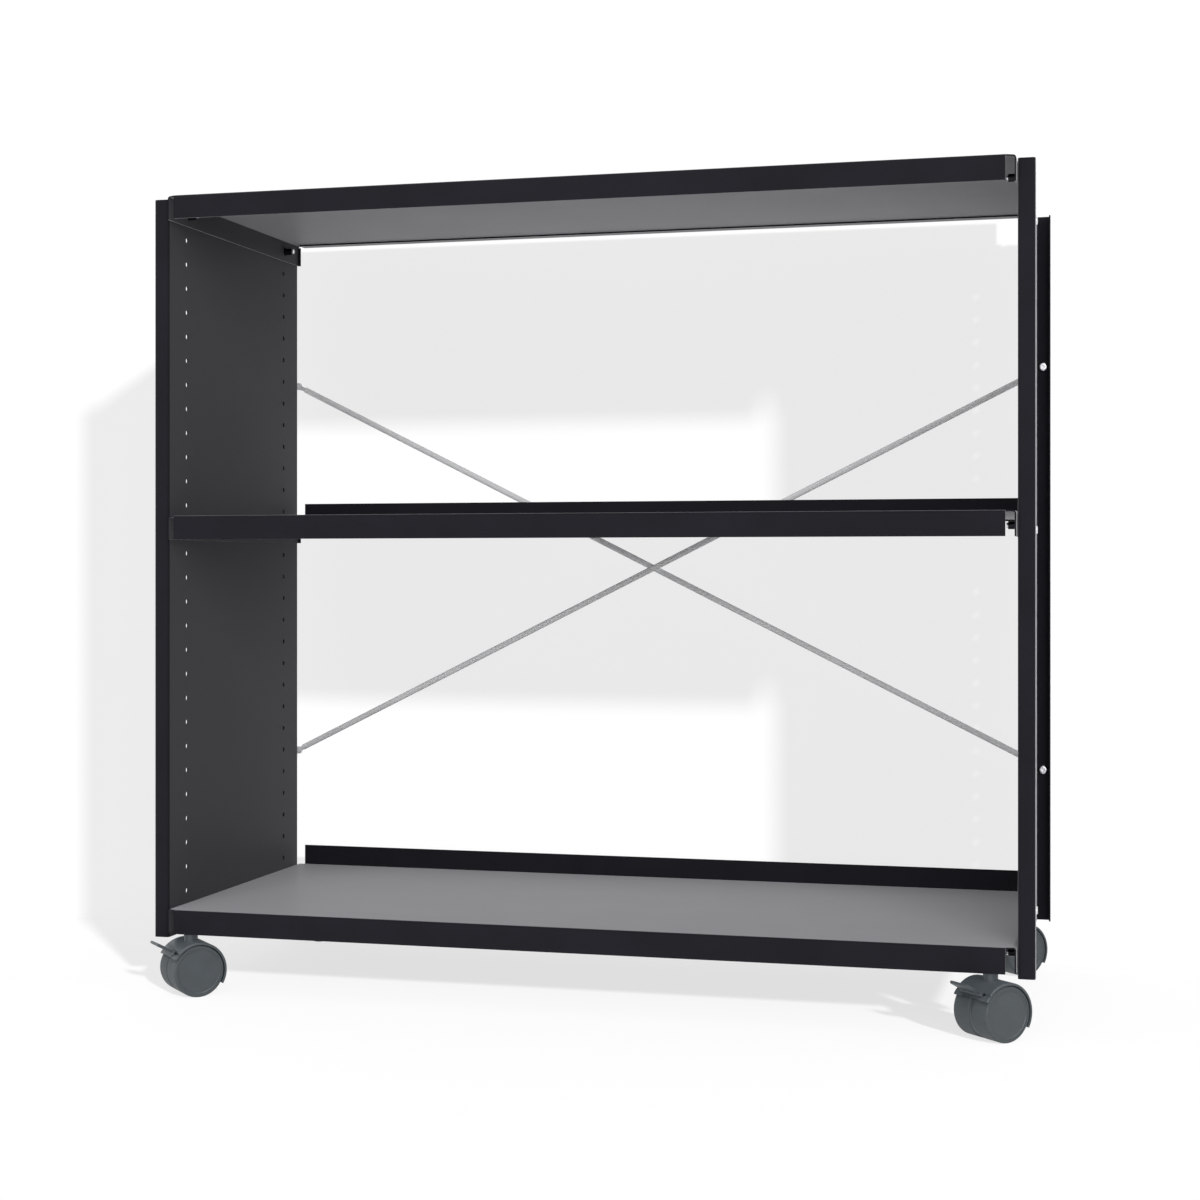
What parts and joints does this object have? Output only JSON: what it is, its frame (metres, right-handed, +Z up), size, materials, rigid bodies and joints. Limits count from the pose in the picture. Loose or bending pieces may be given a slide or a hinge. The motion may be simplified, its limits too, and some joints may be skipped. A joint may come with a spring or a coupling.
{
  "type": "rolling bookcase",
  "caption": "Low open bookcase of black folded steel with tray shelves, perforated channel sides, a crossed-rod back brace and braked twin-wheel swivel casters.",
  "frame": {"origin": "on the floor, under the middle of the whole bookcase's bounding box", "axes": "+X to the right seen from the open front, +Y to the back (the cross brace), +Z up"},
  "size_m": [0.882, 0.3932, 0.8325],
  "materials": {
    "black_coated_steel": "satin powder coat",
    "zinc_steel": "bright zinc plate",
    "black_zinc": "black zinc plate",
    "slate_plastic": "fine-grained moulded nylon",
    "slate_tread": "smooth matt tread"
  },
  "bodies": {
    "bookcase": {"left_side_panel": "black_coated_steel", "right_side_panel": "black_coated_steel", "bottom_shelf": "black_coated_steel", "bottom_rear_stop": "black_coated_steel", "bottom_shelf_inserts": "black_zinc", "bottom_shelf_screws": "zinc_steel", "middle_shelf": "black_coated_steel", "middle_rear_stop": "black_coated_steel", "middle_shelf_inserts": "black_zinc", "middle_shelf_screws": "zinc_steel", "top_shelf": "black_coated_steel", "top_rear_stop": "black_coated_steel", "top_shelf_inserts": "black_zinc", "top_shelf_screws": "zinc_steel", "rising_brace_rod": "zinc_steel", "falling_brace_rod": "zinc_steel", "brace_standoffs": "zinc_steel", "brace_nuts": "zinc_steel", "brace_screws": "zinc_steel", "front_left_caster_boss": "black_coated_steel", "front_left_caster_stem": "zinc_steel", "front_right_caster_boss": "black_coated_steel", "front_right_caster_stem": "zinc_steel", "rear_left_caster_boss": "black_coated_steel", "rear_left_caster_stem": "zinc_steel", "rear_right_caster_boss": "black_coated_steel", "rear_right_caster_stem": "zinc_steel"},
    "front_left_swivel": {"front_left_caster_hood": "slate_plastic", "front_left_caster_axle": "zinc_steel", "front_left_caster_pedal_pin": "zinc_steel"},
    "front_left_wheel_a": {"front_left_caster_hub_a": "slate_plastic", "front_left_caster_tyre_a": "slate_tread"},
    "front_left_wheel_b": {"front_left_caster_hub_b": "slate_plastic", "front_left_caster_tyre_b": "slate_tread"},
    "front_left_brake_pedal": {"front_left_caster_pedal": "slate_plastic"},
    "front_right_swivel": {"front_right_caster_hood": "slate_plastic", "front_right_caster_axle": "zinc_steel", "front_right_caster_pedal_pin": "zinc_steel"},
    "front_right_wheel_a": {"front_right_caster_hub_a": "slate_plastic", "front_right_caster_tyre_a": "slate_tread"},
    "front_right_wheel_b": {"front_right_caster_hub_b": "slate_plastic", "front_right_caster_tyre_b": "slate_tread"},
    "front_right_brake_pedal": {"front_right_caster_pedal": "slate_plastic"},
    "rear_left_swivel": {"rear_left_caster_hood": "slate_plastic", "rear_left_caster_axle": "zinc_steel", "rear_left_caster_pedal_pin": "zinc_steel"},
    "rear_left_wheel_a": {"rear_left_caster_hub_a": "slate_plastic", "rear_left_caster_tyre_a": "slate_tread"},
    "rear_left_wheel_b": {"rear_left_caster_hub_b": "slate_plastic", "rear_left_caster_tyre_b": "slate_tread"},
    "rear_left_brake_pedal": {"rear_left_caster_pedal": "slate_plastic"},
    "rear_right_swivel": {"rear_right_caster_hood": "slate_plastic", "rear_right_caster_axle": "zinc_steel", "rear_right_caster_pedal_pin": "zinc_steel"},
    "rear_right_wheel_a": {"rear_right_caster_hub_a": "slate_plastic", "rear_right_caster_tyre_a": "slate_tread"},
    "rear_right_wheel_b": {"rear_right_caster_hub_b": "slate_plastic", "rear_right_caster_tyre_b": "slate_tread"},
    "rear_right_brake_pedal": {"rear_right_caster_pedal": "slate_plastic"}
  },
  "joints": [
    {"name": "front_left_swivel_turn", "type": "hinge", "parent": "bookcase", "child": "front_left_swivel", "pos_m": [-0.4005, -0.16145, 0.063], "axis": [0, 0, 1], "continuous": true},
    {"name": "front_left_wheel_a_roll", "type": "hinge", "parent": "front_left_swivel", "child": "front_left_wheel_a", "pos_m": [-0.39979, -0.16074, 0.026], "axis": [0.7071, -0.7071, 0], "continuous": true},
    {"name": "front_left_wheel_b_roll", "type": "hinge", "parent": "front_left_swivel", "child": "front_left_wheel_b", "pos_m": [-0.39979, -0.16074, 0.026], "axis": [0.7071, -0.7071, 0], "continuous": true},
    {"name": "front_left_brake_press", "type": "hinge", "parent": "front_left_swivel", "child": "front_left_brake_pedal", "pos_m": [-0.41538, -0.17632, 0.04516], "axis": [0.7071, -0.7071, 0], "range_deg": [0, 10]},
    {"name": "front_right_swivel_turn", "type": "hinge", "parent": "bookcase", "child": "front_right_swivel", "pos_m": [0.4005, -0.16145, 0.063], "axis": [0, 0, 1], "continuous": true},
    {"name": "front_right_wheel_a_roll", "type": "hinge", "parent": "front_right_swivel", "child": "front_right_wheel_a", "pos_m": [0.40121, -0.16074, 0.026], "axis": [0.7071, -0.7071, 0], "continuous": true},
    {"name": "front_right_wheel_b_roll", "type": "hinge", "parent": "front_right_swivel", "child": "front_right_wheel_b", "pos_m": [0.40121, -0.16074, 0.026], "axis": [0.7071, -0.7071, 0], "continuous": true},
    {"name": "front_right_brake_press", "type": "hinge", "parent": "front_right_swivel", "child": "front_right_brake_pedal", "pos_m": [0.38562, -0.17632, 0.04516], "axis": [0.7071, -0.7071, 0], "range_deg": [0, 10]},
    {"name": "rear_left_swivel_turn", "type": "hinge", "parent": "bookcase", "child": "rear_left_swivel", "pos_m": [-0.4005, 0.15655, 0.063], "axis": [0, 0, 1], "continuous": true},
    {"name": "rear_left_wheel_a_roll", "type": "hinge", "parent": "rear_left_swivel", "child": "rear_left_wheel_a", "pos_m": [-0.39979, 0.15726, 0.026], "axis": [0.7071, -0.7071, 0], "continuous": true},
    {"name": "rear_left_wheel_b_roll", "type": "hinge", "parent": "rear_left_swivel", "child": "rear_left_wheel_b", "pos_m": [-0.39979, 0.15726, 0.026], "axis": [0.7071, -0.7071, 0], "continuous": true},
    {"name": "rear_left_brake_press", "type": "hinge", "parent": "rear_left_swivel", "child": "rear_left_brake_pedal", "pos_m": [-0.41538, 0.14168, 0.04516], "axis": [0.7071, -0.7071, 0], "range_deg": [0, 10]},
    {"name": "rear_right_swivel_turn", "type": "hinge", "parent": "bookcase", "child": "rear_right_swivel", "pos_m": [0.4005, 0.15655, 0.063], "axis": [0, 0, 1], "continuous": true},
    {"name": "rear_right_wheel_a_roll", "type": "hinge", "parent": "rear_right_swivel", "child": "rear_right_wheel_a", "pos_m": [0.40121, 0.15726, 0.026], "axis": [0.7071, -0.7071, 0], "continuous": true},
    {"name": "rear_right_wheel_b_roll", "type": "hinge", "parent": "rear_right_swivel", "child": "rear_right_wheel_b", "pos_m": [0.40121, 0.15726, 0.026], "axis": [0.7071, -0.7071, 0], "continuous": true},
    {"name": "rear_right_brake_press", "type": "hinge", "parent": "rear_right_swivel", "child": "rear_right_brake_pedal", "pos_m": [0.38562, 0.14168, 0.04516], "axis": [0.7071, -0.7071, 0], "range_deg": [0, 10]}
  ]
}
